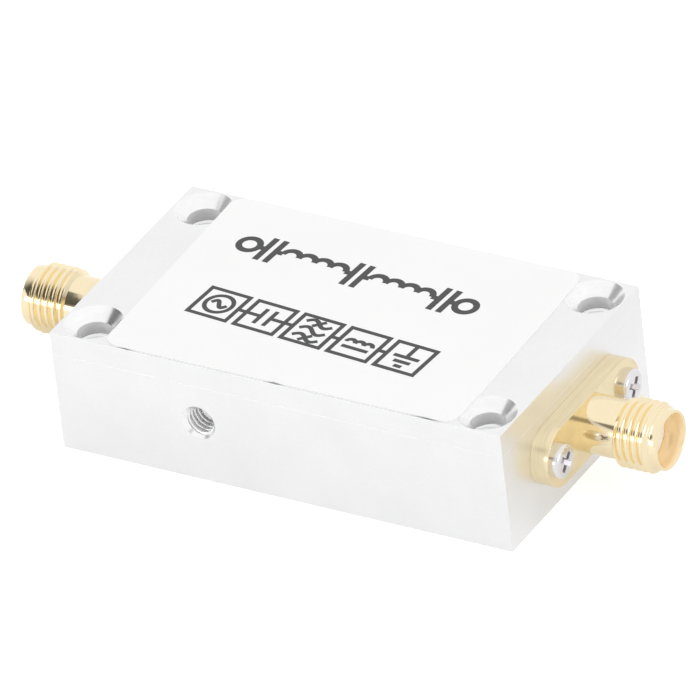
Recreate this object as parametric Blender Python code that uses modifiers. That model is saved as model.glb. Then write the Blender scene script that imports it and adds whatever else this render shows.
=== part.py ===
"""Band-pass filter module: a milled aluminium box with a coaxial connector at each end.

Units are metres and +Z is up. The origin is the middle of the box's underside, and the box's
long side lies along X. A three-resonator filter on a small circuit board fills the box.
"""
from math import cos, pi, radians, sin, tan

import bmesh
import bpy

MM = 0.001

# Clearances between pieces that meet
SEAT = 0.1 * MM
FIT = 0.1 * MM
GLUE_LINE = 0.05 * MM

# Box and lid
BOX_LENGTH = 45.0 * MM
BOX_WIDTH = 25.0 * MM
BOX_HEIGHT = 12.0 * MM
LID_THICKNESS = 2.1 * MM
EDGE_BREAK = 0.15 * MM
END_WALL = 5.5 * MM
SIDE_WALL = 3.5 * MM
FLOOR_THICKNESS = 2.0 * MM
CAVITY_CORNER = 2.0 * MM
LEDGE_AT_ENDS = 4.0 * MM
LEDGE_AT_SIDES = 1.5 * MM

# Holes for the lid's corner screws
LID_HOLE_INSET = 2.85 * MM
LID_HOLE_RADIUS = 1.6 * MM
COUNTERSINK_RADIUS = 2.65 * MM
LID_THREAD_RADIUS = 1.5 * MM
LID_THREAD_DEPTH = 6.0 * MM
HOLE_CHAMFER = 0.2 * MM

# Tapped hole in the front face
SIDE_HOLE_X = -8.15 * MM
SIDE_HOLE_RADIUS = 1.5 * MM
SIDE_HOLE_DEPTH = 3.0 * MM

# Sticker on the lid
LABEL_END_MARGIN = 4.95 * MM
LABEL_SIDE_MARGIN = 0.15 * MM
LABEL_THICKNESS = 0.1 * MM
LABEL_CORNER = 1.5 * MM
LABEL_LEAN = radians(1.2)

# Coaxial connectors, measured outwards from the box's end faces
MOUTH_REACH = 9.4 * MM
MOUTH_RECESS = 1.9 * MM
MOUTH_RADIUS = 2.3 * MM
LIP_CHAMFER = 0.1 * MM
NOSE_RADIUS = 2.72 * MM
NOSE_LENGTH = 0.75 * MM
THREAD_RADIUS = 3.175 * MM
THREAD_DEPTH = 0.38 * MM
THREAD_PITCH = 0.7056 * MM
THREAD_RIDGES = 5
THREAD_LEAD_IN = 0.4 * MM
THREAD_RUN_OUT = 0.3 * MM
NECK_RADIUS = 2.65 * MM
FLANGE_LENGTH = 16.5 * MM
FLANGE_HEIGHT = 5.7 * MM
FLANGE_THICKNESS = 1.65 * MM
INSULATOR_RADIUS = 2.05 * MM
CONTACT_RADIUS = 0.635 * MM
SOCKET_RADIUS = 0.47 * MM
SOCKET_DEPTH = 2.5 * MM
SOCKET_SLOT = 0.15 * MM
SOCKET_SLOT_DEPTH = 2.0 * MM
TAIL_RADIUS = 0.4 * MM
TAIL_LENGTH = 3.5 * MM

# Screws that hold the flanges and the circuit board
FLANGE_SCREW_SPACING = 12.4 * MM
FLANGE_SCREW_HEAD_RADIUS = 1.58 * MM
FLANGE_SCREW_HEAD_HEIGHT = 0.6 * MM
FLANGE_SCREW_RADIUS = 0.95 * MM
FLANGE_SCREW_GRIP = 4.0 * MM
BOARD_SCREW_HEAD_RADIUS = 1.4 * MM
BOARD_SCREW_HEAD_HEIGHT = 0.7 * MM
BOARD_SCREW_RADIUS = 0.75 * MM
BOARD_SCREW_GRIP = 1.8 * MM
BOARD_SCREW_INSET = 2.0 * MM
TAPPED_HOLE_SPARE = 0.3 * MM
RECESS_TURNS = {"left": (radians(20), radians(65)), "right": (radians(-43), radians(-33))}

# Form of a screw, as shares of its head's radius or height and of its shank's radius
HEAD_FLAT = 0.72
HEAD_SHOULDER = 0.92
HEAD_SHOULDER_DROP = 0.2
HEAD_RIM_DROP = 0.55
RECESS_REACH = 0.62
RECESS_WIDTH = 0.2
RECESS_DEPTH = 0.9
RECESS_TAPER = 0.4
SCREW_POINT = 0.4

# Circuit board and its copper
BOARD_THICKNESS = 1.0 * MM
BOARD_CLEARANCE = 0.2 * MM
COPPER_THICKNESS = 0.07 * MM
TRACK_WIDTH = 1.4 * MM
TRACK_GAP = 1.1 * MM
TRACK_INSET = 1.0 * MM
OUTER_RESONATOR_INSET = 5.5 * MM
SHUNT_SETBACK = 2.8 * MM

# Air-cored coils
COIL_HEADROOM = 0.9 * MM
COIL_WIRE_RADIUS = 0.25 * MM
COIL_PITCH = 0.75 * MM
COIL_TURNS = 4.5
COIL_LIFT = 0.4 * MM
COIL_SETBACK = 2.0 * MM

# Chip capacitors
CHIP_LENGTH = 2.0 * MM
CHIP_WIDTH = 1.25 * MM
CHIP_HEIGHT = 0.85 * MM
CHIP_CAP_LENGTH = 0.45 * MM
CHIP_CAP_STEP = 0.05 * MM

# Facets round a full turn and a plate's corner, bends that stay smooth or sharp, and the weld
SHELL_STEPS = 32
HOLE_STEPS = 32
SMALL_STEPS = 20
COIL_STEPS = 12
CORNER_STEPS = 6
SMOOTH_ANGLE = radians(35)
CHAMFER_ANGLE = radians(40)
WELD_DISTANCE = 0.001 * MM

# Heights and places that follow from the sizes above
housing_height = BOX_HEIGHT - LID_THICKNESS - SEAT
axis_height = BOX_HEIGHT / 2
copper_top = axis_height - TAIL_RADIUS - SEAT
board_top = copper_top - COPPER_THICKNESS
board_bottom = board_top - BOARD_THICKNESS
ledge_height = board_bottom - SEAT
cavity_length = BOX_LENGTH - 2 * END_WALL
cavity_width = BOX_WIDTH - 2 * SIDE_WALL
board_length = cavity_length - 2 * BOARD_CLEARANCE
board_width = cavity_width - 2 * BOARD_CLEARANCE
insulator_front = MOUTH_REACH - MOUTH_RECESS
flange_face = SEAT + FLANGE_THICKNESS
thread_top = MOUTH_REACH - NOSE_LENGTH - THREAD_LEAD_IN
track_end = board_length / 2 - TRACK_INSET
coil_length = COIL_TURNS * COIL_PITCH
coil_bottom = board_top + COIL_LIFT
coil_top = BOX_HEIGHT - LID_THICKNESS - COIL_HEADROOM
coil_radius = (coil_top - coil_bottom) / 2 - COIL_WIRE_RADIUS
tail_end = BOX_LENGTH / 2 - END_WALL - TAIL_LENGTH
resonator_spacing = tail_end - OUTER_RESONATOR_INSET
resonator_places = [-resonator_spacing, 0, resonator_spacing]
inner_coupling = resonator_spacing / 2
outer_coupling = (resonator_spacing + tail_end) / 2
coupling_places = [-outer_coupling, -inner_coupling, inner_coupling, outer_coupling]


def corner_places(length, width, inset):
    """The four points that lie the inset away from a rectangle's sides."""
    places = []
    for side in (-1, 1):
        for end in (-1, 1):
            places.append((side * (length / 2 - inset), end * (width / 2 - inset)))
    return places


lid_hole_places = corner_places(BOX_LENGTH, BOX_WIDTH, LID_HOLE_INSET)
board_screw_places = corner_places(board_length, board_width, BOARD_SCREW_INSET)


def empty_scene():
    """Removes every object that the file holds."""
    for item in list(bpy.data.objects):
        bpy.data.objects.remove(item, do_unlink=True)


def new_collection(name):
    collection = bpy.data.collections.new(name)
    bpy.context.scene.collection.children.link(collection)
    return collection


def add_object(name, mesh, collection):
    item = bpy.data.objects.new(name, mesh)
    collection.objects.link(item)
    return item


def finish(name, colour, roughness, metallic):
    """A plain Principled material."""
    material = bpy.data.materials.new(name)
    material.use_nodes = True
    shader = material.node_tree.nodes["Principled BSDF"]
    shader.inputs["Base Color"].default_value = (*colour, 1.0)
    shader.inputs["Roughness"].default_value = roughness
    shader.inputs["Metallic"].default_value = metallic
    return material


def box(name, size, centre, collection):
    """A rectangular block."""
    shape = bmesh.new()
    bmesh.ops.create_cube(shape, size=1.0)
    bmesh.ops.scale(shape, vec=size, verts=shape.verts)
    bmesh.ops.translate(shape, vec=centre, verts=shape.verts)
    mesh = bpy.data.meshes.new(name)
    shape.to_mesh(mesh)
    shape.free()
    return add_object(name, mesh, collection)


def rounded_rectangle(length, width, radius):
    """Outline points, anticlockwise, with a quarter circle of the radius at each corner."""
    points = []
    for quarter, (side, end) in enumerate(((1, 1), (-1, 1), (-1, -1), (1, -1))):
        for step in range(CORNER_STEPS + 1):
            angle = (quarter + step / CORNER_STEPS) * pi / 2
            x = side * (length / 2 - radius) + radius * cos(angle)
            y = end * (width / 2 - radius) + radius * sin(angle)
            points.append((x, y))
    return points


def plate(name, outline, bottom, thickness, collection):
    """A flat plate of the outline, standing on the height of its underside."""
    curve = bpy.data.curves.new(name, "CURVE")
    curve.dimensions = "2D"
    curve.fill_mode = "BOTH"
    curve.extrude = thickness / 2
    spline = curve.splines.new("POLY")
    spline.points.add(len(outline) - 1)
    for point, (x, y) in zip(spline.points, outline):
        point.co = (x, y, 0.0, 1.0)
    spline.use_cyclic_u = True
    flat = add_object(name + "_outline", curve, collection)
    item = add_object(name, evaluated_mesh(flat), collection)
    bpy.data.objects.remove(flat)
    item.location.z = bottom + thickness / 2
    return item


def evaluated_mesh(item):
    """The object's mesh with its modifiers applied, welded and with its faces out."""
    bpy.context.view_layer.update()
    graph = bpy.context.evaluated_depsgraph_get()
    mesh = bpy.data.meshes.new_from_object(item.evaluated_get(graph))
    shape = bmesh.new()
    shape.from_mesh(mesh)
    bmesh.ops.remove_doubles(shape, verts=shape.verts, dist=WELD_DISTANCE)
    bmesh.ops.recalc_face_normals(shape, faces=shape.faces)
    shape.to_mesh(mesh)
    shape.free()
    return mesh


def turned(name, profile, steps, collection, ring=False):
    """A solid turned about local Z from (radius, height) points, top to bottom on the outer side."""
    mesh = bpy.data.meshes.new(name)
    points = [(radius, 0.0, height) for radius, height in profile]
    edges = [(index, index + 1) for index in range(len(points) - 1)]
    if ring:
        edges.append((len(points) - 1, 0))
    mesh.from_pydata(points, edges, [])
    item = add_object(name, mesh, collection)
    screw = item.modifiers.new("Turn", "SCREW")
    screw.axis = "Z"
    screw.angle = 2 * pi
    screw.steps = steps
    screw.render_steps = steps
    screw.use_merge_vertices = True
    screw.merge_threshold = WELD_DISTANCE
    return item


def rod(name, radius, bottom, top, steps, collection):
    """A plain cylinder along local Z, for a hole or a pin."""
    return turned(name, [(0, top), (radius, top), (radius, bottom), (0, bottom)], steps, collection)


def cut(item, cutter):
    """Takes the cutter's shape out of the object."""
    boolean = item.modifiers.new("Cut " + cutter.name, "BOOLEAN")
    boolean.operation = "DIFFERENCE"
    boolean.solver = "EXACT"
    boolean.object = cutter
    cutter.hide_render = True
    cutter.display_type = "WIRE"


def join(item, addition):
    """Adds the other shape to the object as one body."""
    boolean = item.modifiers.new("Join " + addition.name, "BOOLEAN")
    boolean.operation = "UNION"
    boolean.solver = "EXACT"
    boolean.object = addition
    addition.hide_render = True
    addition.display_type = "WIRE"


def break_edges(item, width):
    """A small chamfer on the sharp edges, as left by deburring."""
    bevel = item.modifiers.new("Edge break", "BEVEL")
    bevel.width = width
    bevel.segments = 1
    bevel.limit_method = "ANGLE"
    bevel.angle_limit = CHAMFER_ANGLE


def shade_round(item):
    """Smooth shading on the round faces, with the corners kept sharp."""
    item.data = evaluated_mesh(item)
    item.modifiers.clear()
    item.data.shade_smooth()
    item.data.set_sharp_from_angle(angle=SMOOTH_ANGLE)


def hole_cutter(name, radius, depth, chamfer, steps, cutters):
    """A cutter for a chamfered blind hole whose mouth is at local Z = 0."""
    profile = [
        (0, chamfer),
        (radius + 2 * chamfer, chamfer),
        (radius, -chamfer),
        (radius, -depth),
        (0, -depth),
    ]
    return turned(name, profile, steps, cutters)


def make_connector_frame(name, side, parts):
    """An empty on a connector's axis at the box's end face: local Z out, local Y up."""
    frame = bpy.data.objects.new(name, None)
    parts.objects.link(frame)
    frame.empty_display_size = FLANGE_HEIGHT
    frame.location = (side * BOX_LENGTH / 2, 0, axis_height)
    frame.rotation_euler = (radians(90), 0, side * radians(90))
    frame["side"] = side
    return frame


def make_housing(frames, parts, cutters):
    """The milled box: open on top, with a ledge for the board and every drilled hole."""
    size = (BOX_LENGTH, BOX_WIDTH, housing_height)
    housing = box("housing", size, (0, 0, housing_height / 2), parts)
    break_edges(housing, EDGE_BREAK)

    upper = rounded_rectangle(cavity_length, cavity_width, CAVITY_CORNER)
    inner_length = cavity_length - 2 * LEDGE_AT_ENDS
    inner_width = cavity_width - 2 * LEDGE_AT_SIDES
    lower = rounded_rectangle(inner_length, inner_width, CAVITY_CORNER)
    cut(housing, plate("upper_pocket", upper, ledge_height, BOX_HEIGHT - ledge_height, cutters))
    cut(housing, plate("lower_pocket", lower, FLOOR_THICKNESS, BOX_HEIGHT - FLOOR_THICKNESS, cutters))

    for number, (x, y) in enumerate(lid_hole_places, 1):
        name = f"lid_thread_{number}"
        hole = hole_cutter(name, LID_THREAD_RADIUS, LID_THREAD_DEPTH, HOLE_CHAMFER, HOLE_STEPS, cutters)
        hole.location = (x, y, housing_height)
        cut(housing, hole)

    board_hole = BOARD_SCREW_RADIUS + FIT
    board_hole_depth = BOARD_SCREW_GRIP + TAPPED_HOLE_SPARE
    for number, (x, y) in enumerate(board_screw_places, 1):
        hole = rod(f"board_thread_{number}", board_hole, -board_hole_depth, SEAT, SMALL_STEPS, cutters)
        hole.location = (x, y, ledge_height)
        cut(housing, hole)

    bore_radius = INSULATOR_RADIUS + FIT
    for frame in frames:
        bore = rod(f"{frame.name}_bore", bore_radius, -END_WALL - SEAT, SEAT, HOLE_STEPS, cutters)
        bore.parent = frame
        cut(housing, bore)
        for end in (-1, 1):
            name = f"{frame.name}_thread_{end}"
            depth = FLANGE_SCREW_GRIP + TAPPED_HOLE_SPARE
            hole = rod(name, FLANGE_SCREW_RADIUS + FIT, -depth, SEAT, SMALL_STEPS, cutters)
            hole.parent = frame
            hole.location.x = end * FLANGE_SCREW_SPACING / 2
            cut(housing, hole)

    depth = SIDE_HOLE_DEPTH
    hole = hole_cutter("side_thread", SIDE_HOLE_RADIUS, depth, HOLE_CHAMFER, HOLE_STEPS, cutters)
    hole.location = (SIDE_HOLE_X, -BOX_WIDTH / 2, axis_height)
    hole.rotation_euler.x = radians(90)
    cut(housing, hole)
    return housing


def make_lid(parts, cutters):
    """The flat lid, with a countersunk hole at each corner."""
    middle = BOX_HEIGHT - LID_THICKNESS / 2
    lid = box("lid", (BOX_LENGTH, BOX_WIDTH, LID_THICKNESS), (0, 0, middle), parts)
    break_edges(lid, EDGE_BREAK)
    flare = COUNTERSINK_RADIUS - LID_HOLE_RADIUS
    profile = [
        (0, EDGE_BREAK),
        (COUNTERSINK_RADIUS + EDGE_BREAK, EDGE_BREAK),
        (LID_HOLE_RADIUS, -flare),
        (LID_HOLE_RADIUS, -LID_THICKNESS - SEAT),
        (0, -LID_THICKNESS - SEAT),
    ]
    for number, (x, y) in enumerate(lid_hole_places, 1):
        hole = turned(f"countersink_{number}", profile, HOLE_STEPS, cutters)
        hole.location = (x, y, BOX_HEIGHT)
        cut(lid, hole)
    return lid


def make_label(parts):
    """The sticker, whose side edges were cut a little out of square."""
    length = BOX_LENGTH - 2 * LABEL_END_MARGIN
    width = BOX_WIDTH - 2 * LABEL_SIDE_MARGIN
    outline = rounded_rectangle(length, width, LABEL_CORNER)
    leaning = [(x - y * tan(LABEL_LEAN), y) for x, y in outline]
    return plate("label", leaning, BOX_HEIGHT + GLUE_LINE, LABEL_THICKNESS, parts)


def thread_profile(top, radius):
    """Points down a row of thread ridges with flat crests and roots, as (radius, height)."""
    crest = THREAD_PITCH / 8
    root = THREAD_PITCH / 4
    flank = (THREAD_PITCH - crest - root) / 2
    points = []
    for ridge in range(THREAD_RIDGES):
        height = top - ridge * THREAD_PITCH
        points += [(radius, height), (radius, height - crest)]
        if ridge < THREAD_RIDGES - 1:
            height -= crest + flank
            points += [(radius - THREAD_DEPTH, height), (radius - THREAD_DEPTH, height - root)]
    return points


def make_shell(frame, name, parts, cutters):
    """The connector's body: flange, neck, thread and mouth turned and milled from one bar."""
    ridges = thread_profile(thread_top, THREAD_RADIUS)
    thread_bottom = ridges[-1][1]
    base = SEAT + FLANGE_THICKNESS / 2
    profile = [
        (0, MOUTH_REACH),
        (NOSE_RADIUS - LIP_CHAMFER, MOUTH_REACH),
        (NOSE_RADIUS, MOUTH_REACH - LIP_CHAMFER),
        (NOSE_RADIUS, MOUTH_REACH - NOSE_LENGTH),
        *ridges,
        (NECK_RADIUS, thread_bottom - THREAD_RUN_OUT),
        (NECK_RADIUS, base),
        (0, base),
    ]
    shell = turned(name, profile, SHELL_STEPS, parts)

    outline = rounded_rectangle(FLANGE_LENGTH, FLANGE_HEIGHT, FLANGE_HEIGHT / 2)
    flange = plate(name + "_flange", outline, SEAT, FLANGE_THICKNESS, cutters)
    break_edges(flange, EDGE_BREAK)
    flange.parent = frame
    join(shell, flange)

    front = insulator_front
    bore_profile = [
        (0, MOUTH_REACH + LIP_CHAMFER),
        (MOUTH_RADIUS + 2 * LIP_CHAMFER, MOUTH_REACH + LIP_CHAMFER),
        (MOUTH_RADIUS, MOUTH_REACH - LIP_CHAMFER),
        (MOUTH_RADIUS, front),
        (INSULATOR_RADIUS + FIT, front),
        (INSULATOR_RADIUS + FIT, -SEAT),
        (0, -SEAT),
    ]
    bore = turned(name + "_bore", bore_profile, SHELL_STEPS, cutters)
    bore.parent = frame
    cut(shell, bore)

    hole_radius = FLANGE_SCREW_RADIUS + FIT
    for end in (-1, 1):
        hole = rod(f"{name}_hole_{end}", hole_radius, -SEAT, flange_face + SEAT, SMALL_STEPS, cutters)
        hole.parent = frame
        hole.location.x = end * FLANGE_SCREW_SPACING / 2
        cut(shell, hole)
    shell.parent = frame
    return shell


def make_insulator(frame, name, parts):
    """The white plug that holds the contact, through the shell and the box's end wall."""
    hole = CONTACT_RADIUS + FIT
    profile = [
        (INSULATOR_RADIUS, insulator_front),
        (INSULATOR_RADIUS, -END_WALL),
        (hole, -END_WALL),
        (hole, insulator_front),
    ]
    insulator = turned(name, profile, SHELL_STEPS, parts, ring=True)
    insulator.parent = frame
    return insulator


def make_contact(frame, name, parts, cutters):
    """The centre contact: a slotted socket in front and a thin soldering tail behind."""
    front = insulator_front - SEAT
    back = -END_WALL - TAIL_LENGTH
    profile = [
        (0, front),
        (CONTACT_RADIUS, front),
        (CONTACT_RADIUS, -END_WALL),
        (TAIL_RADIUS, -END_WALL),
        (TAIL_RADIUS, back),
        (0, back),
    ]
    contact = turned(name, profile, SMALL_STEPS, parts)
    foot = front - SOCKET_DEPTH
    socket = rod(name + "_socket", SOCKET_RADIUS, foot, front + SEAT, SMALL_STEPS, cutters)
    socket.parent = frame
    cut(contact, socket)

    across = 2 * (CONTACT_RADIUS + SEAT)
    height = SOCKET_SLOT_DEPTH + SEAT
    middle = (0, 0, front + SEAT - height / 2)
    for number, (length, width) in enumerate(((across, SOCKET_SLOT), (SOCKET_SLOT, across)), 1):
        slot = box(f"{name}_slot_{number}", (length, width, height), middle, cutters)
        slot.parent = frame
        cut(contact, slot)
    contact.parent = frame
    return contact


def recess_blade(name, reach, width, depth, cutters):
    """One of the two tapered blades that cut a cross recess, from local Z = 0 down."""
    blade = box(name, (2 * reach, width, depth), (0, 0, -depth / 2), cutters)
    for vertex in blade.data.vertices:
        if vertex.co.z < -depth / 2:
            vertex.co.x *= RECESS_TAPER
        else:
            vertex.co.z += SEAT
    return blade


def pan_head_screw(name, head_radius, head_height, radius, length, parts, cutters):
    """The mesh of a cross-recessed pan head screw that sits on local Z = 0."""
    top = SEAT + head_height
    point = radius * SCREW_POINT
    profile = [
        (0, top),
        (head_radius * HEAD_FLAT, top),
        (head_radius * HEAD_SHOULDER, top - head_height * HEAD_SHOULDER_DROP),
        (head_radius, top - head_height * HEAD_RIM_DROP),
        (head_radius, SEAT),
        (radius, SEAT),
        (radius, point - length),
        (radius - point, -length),
        (0, -length),
    ]
    screw = turned(name, profile, SMALL_STEPS, parts)
    for number, turn in enumerate((0, pi / 2), 1):
        reach = head_radius * RECESS_REACH
        width = head_radius * RECESS_WIDTH
        blade = recess_blade(f"{name}_blade_{number}", reach, width, head_height * RECESS_DEPTH, cutters)
        blade.location.z = top
        blade.rotation_euler.z = turn
        cut(screw, blade)
    mesh = evaluated_mesh(screw)
    mesh.shade_smooth()
    mesh.set_sharp_from_angle(angle=SMOOTH_ANGLE)
    bpy.data.objects.remove(screw)
    return mesh


def place_flange_screws(frame, word, turns, mesh, parts):
    """The two screws of one flange, each with its recess turned as it was left."""
    screws = []
    for corner, end, turn in zip(("front", "rear"), (-1, 1), turns):
        screw = add_object(f"{word}_flange_screw_{corner}", mesh, parts)
        screw.parent = frame
        screw.location = (end * frame["side"] * FLANGE_SCREW_SPACING / 2, 0, flange_face)
        screw.rotation_euler.z = turn
        screws.append(screw)
    return screws


def copper_areas():
    """Name, size and middle of each copper area on the board, as seen from above."""
    areas = []
    ends = [-track_end - TRACK_GAP / 2, *coupling_places, track_end + TRACK_GAP / 2]
    for number, (left, right) in enumerate(zip(ends, ends[1:]), 1):
        length = right - left - TRACK_GAP
        areas.append((f"track_{number}", (length, TRACK_WIDTH), ((left + right) / 2, 0)))

    branch_rear = COIL_SETBACK + TRACK_WIDTH / 2
    branch_front = SHUNT_SETBACK - TRACK_GAP / 2
    branch_length = branch_rear + branch_front
    branch_middle = (branch_rear - branch_front) / 2
    chip_ground = -SHUNT_SETBACK - TRACK_GAP / 2 - TRACK_WIDTH / 2
    coil_ground = COIL_SETBACK + coil_length
    for number, x in enumerate(resonator_places, 1):
        areas.append((f"branch_{number}", (TRACK_WIDTH, branch_length), (x, branch_middle)))
        areas.append((f"chip_ground_{number}", (TRACK_WIDTH, TRACK_WIDTH), (x, chip_ground)))
        far_pad = x - 2 * coil_radius
        areas.append((f"coil_ground_{number}", (TRACK_WIDTH, TRACK_WIDTH), (far_pad, coil_ground)))
    return areas


def make_board(parts, cutters):
    """The laminate with its copper areas and four screw holes."""
    outline = rounded_rectangle(board_length, board_width, CAVITY_CORNER)
    board = plate("circuit_board", outline, board_bottom, BOARD_THICKNESS, parts)
    height = BOARD_THICKNESS / 2 + COPPER_THICKNESS
    for name, (length, width), (x, y) in copper_areas():
        join(board, box(name, (length, width, height), (x, y, copper_top - height / 2), cutters))
    for number, (x, y) in enumerate(board_screw_places, 1):
        reach = BOARD_THICKNESS
        hole = rod(f"board_hole_{number}", BOARD_SCREW_RADIUS + FIT, -reach, reach, SMALL_STEPS, cutters)
        hole.location = (x, y, (board_top + board_bottom) / 2)
        cut(board, hole)
    return board


def coil_points():
    """The wire of one coil: up from its first pad, round the turns along +Y, down to its last."""
    middle = (coil_bottom + coil_top) / 2
    foot = copper_top + SEAT
    points = [(coil_radius, 0, foot)]
    for step in range(round(COIL_TURNS * COIL_STEPS) + 1):
        turns = step / COIL_STEPS
        angle = 2 * pi * turns
        points.append((coil_radius * cos(angle), COIL_PITCH * turns, middle + coil_radius * sin(angle)))
    points.append((-coil_radius, coil_length, foot))
    return points


def coil_mesh(parts):
    """An air-cored coil of round wire, as a mesh that the three coils share."""
    curve = bpy.data.curves.new("coil_wire", "CURVE")
    curve.dimensions = "3D"
    curve.bevel_depth = COIL_WIRE_RADIUS
    curve.bevel_resolution = 2
    curve.use_fill_caps = True
    points = coil_points()
    spline = curve.splines.new("POLY")
    spline.points.add(len(points) - 1)
    for target, point in zip(spline.points, points):
        target.co = (*point, 1.0)
    wire = add_object("coil_wire", curve, parts)
    mesh = evaluated_mesh(wire)
    mesh.shade_smooth()
    bpy.data.objects.remove(wire)
    return mesh


def chip_mesh(parts, cutters):
    """A chip capacitor along X: a ceramic block with a metal cap over each end."""
    inner = CHIP_LENGTH - CHIP_CAP_LENGTH
    ceramic = (inner, CHIP_WIDTH - 2 * CHIP_CAP_STEP, CHIP_HEIGHT - 2 * CHIP_CAP_STEP)
    chip = box("chip", ceramic, (0, 0, CHIP_HEIGHT / 2), parts)
    for end in (-1, 1):
        middle = (end * inner / 2, 0, CHIP_HEIGHT / 2)
        join(chip, box(f"chip_cap_{end}", (CHIP_CAP_LENGTH, CHIP_WIDTH, CHIP_HEIGHT), middle, cutters))
    mesh = evaluated_mesh(chip)
    bpy.data.objects.remove(chip)
    return mesh


def place_coils(parts):
    """One coil from each resonator's branch back to its ground pad."""
    mesh = coil_mesh(parts)
    coils = []
    for number, x in enumerate(resonator_places, 1):
        coil = add_object(f"coil_{number}", mesh, parts)
        coil.location = (x - coil_radius, COIL_SETBACK, 0)
        coils.append(coil)
    return coils


def place_capacitors(parts, cutters):
    """A capacitor from each resonator to ground, and one across each gap in the signal track."""
    mesh = chip_mesh(parts, cutters)
    rest = copper_top + SEAT
    capacitors = []
    for number, x in enumerate(resonator_places, 1):
        chip = add_object(f"shunt_capacitor_{number}", mesh, parts)
        chip.location = (x, -SHUNT_SETBACK, rest)
        chip.rotation_euler.z = pi / 2
        capacitors.append(chip)
    for number, x in enumerate(coupling_places, 1):
        chip = add_object(f"coupling_capacitor_{number}", mesh, parts)
        chip.location = (x, 0, rest)
        capacitors.append(chip)
    return capacitors


def paint(items, material):
    """Gives each object the material in place of any other."""
    for item in items:
        item.data.materials.clear()
        item.data.materials.append(material)


empty_scene()
parts = new_collection("band_pass_filter_module")
cutters = new_collection("cutters")

frames = {}
for word, side in (("left", -1), ("right", 1)):
    frames[word] = make_connector_frame(f"{word}_end", side, parts)

housing = make_housing(frames.values(), parts, cutters)
lid = make_lid(parts, cutters)
label = make_label(parts)
board = make_board(parts, cutters)
coils = place_coils(parts)
capacitors = place_capacitors(parts, cutters)

shells = []
insulators = []
contacts = []
flange_screws = []
flange_screw = pan_head_screw(
    "flange_screw",
    FLANGE_SCREW_HEAD_RADIUS,
    FLANGE_SCREW_HEAD_HEIGHT,
    FLANGE_SCREW_RADIUS,
    FLANGE_THICKNESS + FLANGE_SCREW_GRIP,
    parts,
    cutters,
)
for word, frame in frames.items():
    shells.append(make_shell(frame, f"{word}_connector_shell", parts, cutters))
    insulators.append(make_insulator(frame, f"{word}_connector_insulator", parts))
    contacts.append(make_contact(frame, f"{word}_connector_contact", parts, cutters))
    flange_screws += place_flange_screws(frame, word, RECESS_TURNS[word], flange_screw, parts)

board_screws = []
board_screw = pan_head_screw(
    "board_screw",
    BOARD_SCREW_HEAD_RADIUS,
    BOARD_SCREW_HEAD_HEIGHT,
    BOARD_SCREW_RADIUS,
    BOARD_THICKNESS + BOARD_SCREW_GRIP,
    parts,
    cutters,
)
for number, (x, y) in enumerate(board_screw_places, 1):
    screw = add_object(f"board_screw_{number}", board_screw, parts)
    screw.location = (x, y, board_top)
    board_screws.append(screw)

for item in (housing, lid, board, *shells, *insulators, *contacts):
    shade_round(item)

paint([housing], finish("blasted_aluminium", (0.80, 0.80, 0.81), 0.38, 1.0))
paint([lid], finish("lid_aluminium", (0.82, 0.82, 0.83), 0.36, 1.0))
paint([label], finish("white_sticker", (0.88, 0.88, 0.87), 0.55, 0.0))
paint(shells, finish("gold_plated_brass", (0.94, 0.70, 0.30), 0.14, 1.0))
paint(contacts, finish("gold_plated_contact", (0.92, 0.68, 0.28), 0.18, 1.0))
paint(insulators, finish("white_fluoropolymer", (0.90, 0.89, 0.86), 0.45, 0.0))
paint(flange_screws, finish("nickel_plated_steel", (0.70, 0.69, 0.72), 0.22, 1.0))
paint(board_screws, finish("zinc_plated_steel", (0.62, 0.62, 0.64), 0.30, 1.0))
paint([board], finish("green_laminate", (0.05, 0.24, 0.10), 0.45, 0.0))
paint(coils, finish("enamelled_copper", (0.72, 0.34, 0.14), 0.28, 1.0))
paint(capacitors, finish("tan_ceramic", (0.55, 0.42, 0.28), 0.50, 0.0))
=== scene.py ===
from math import cos, exp, pi, radians, sin, tan

import bmesh
import bpy
from mathutils import Euler, Matrix, Vector


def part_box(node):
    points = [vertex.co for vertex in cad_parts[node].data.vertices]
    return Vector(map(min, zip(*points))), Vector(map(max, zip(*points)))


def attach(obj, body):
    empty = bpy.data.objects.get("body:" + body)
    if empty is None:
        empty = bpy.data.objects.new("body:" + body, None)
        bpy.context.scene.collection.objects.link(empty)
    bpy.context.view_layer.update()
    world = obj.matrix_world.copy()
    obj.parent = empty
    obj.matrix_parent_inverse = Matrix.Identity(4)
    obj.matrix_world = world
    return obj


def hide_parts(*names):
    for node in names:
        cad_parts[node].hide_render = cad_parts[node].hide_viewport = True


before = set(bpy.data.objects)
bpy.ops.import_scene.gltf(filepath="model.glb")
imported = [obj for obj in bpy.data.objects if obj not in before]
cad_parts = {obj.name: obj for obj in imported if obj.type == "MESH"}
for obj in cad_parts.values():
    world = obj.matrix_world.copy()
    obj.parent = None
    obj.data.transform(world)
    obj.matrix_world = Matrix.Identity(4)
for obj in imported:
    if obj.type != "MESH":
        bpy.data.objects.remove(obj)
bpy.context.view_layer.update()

# Camera
# A long lens looks at the module from its front right corner and well above the table. The body
# is turned a little about its own axis, so the long edges run down to the right.
MM = 0.001

camera = bpy.data.objects.new("camera", bpy.data.cameras.new("camera"))
bpy.context.scene.collection.objects.link(camera)
camera.data.lens = 767.93
camera.location = (594.586 * MM, -911.820 * MM, 717.841 * MM)
camera.rotation_euler = (radians(56.70309), radians(5.59121), radians(29.43912))
bpy.context.scene.camera = camera
bpy.context.scene.view_settings.view_transform = "Standard"

# Light tent
# White cloth all round, with an opening for the camera, a dark gap on the left and a small one on
# the front left. A soft box under the small gap puts the bright line along the turned parts, and
# another one on the right lights the open mouth of the connector.
TENT_WHITE = 1.0
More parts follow.
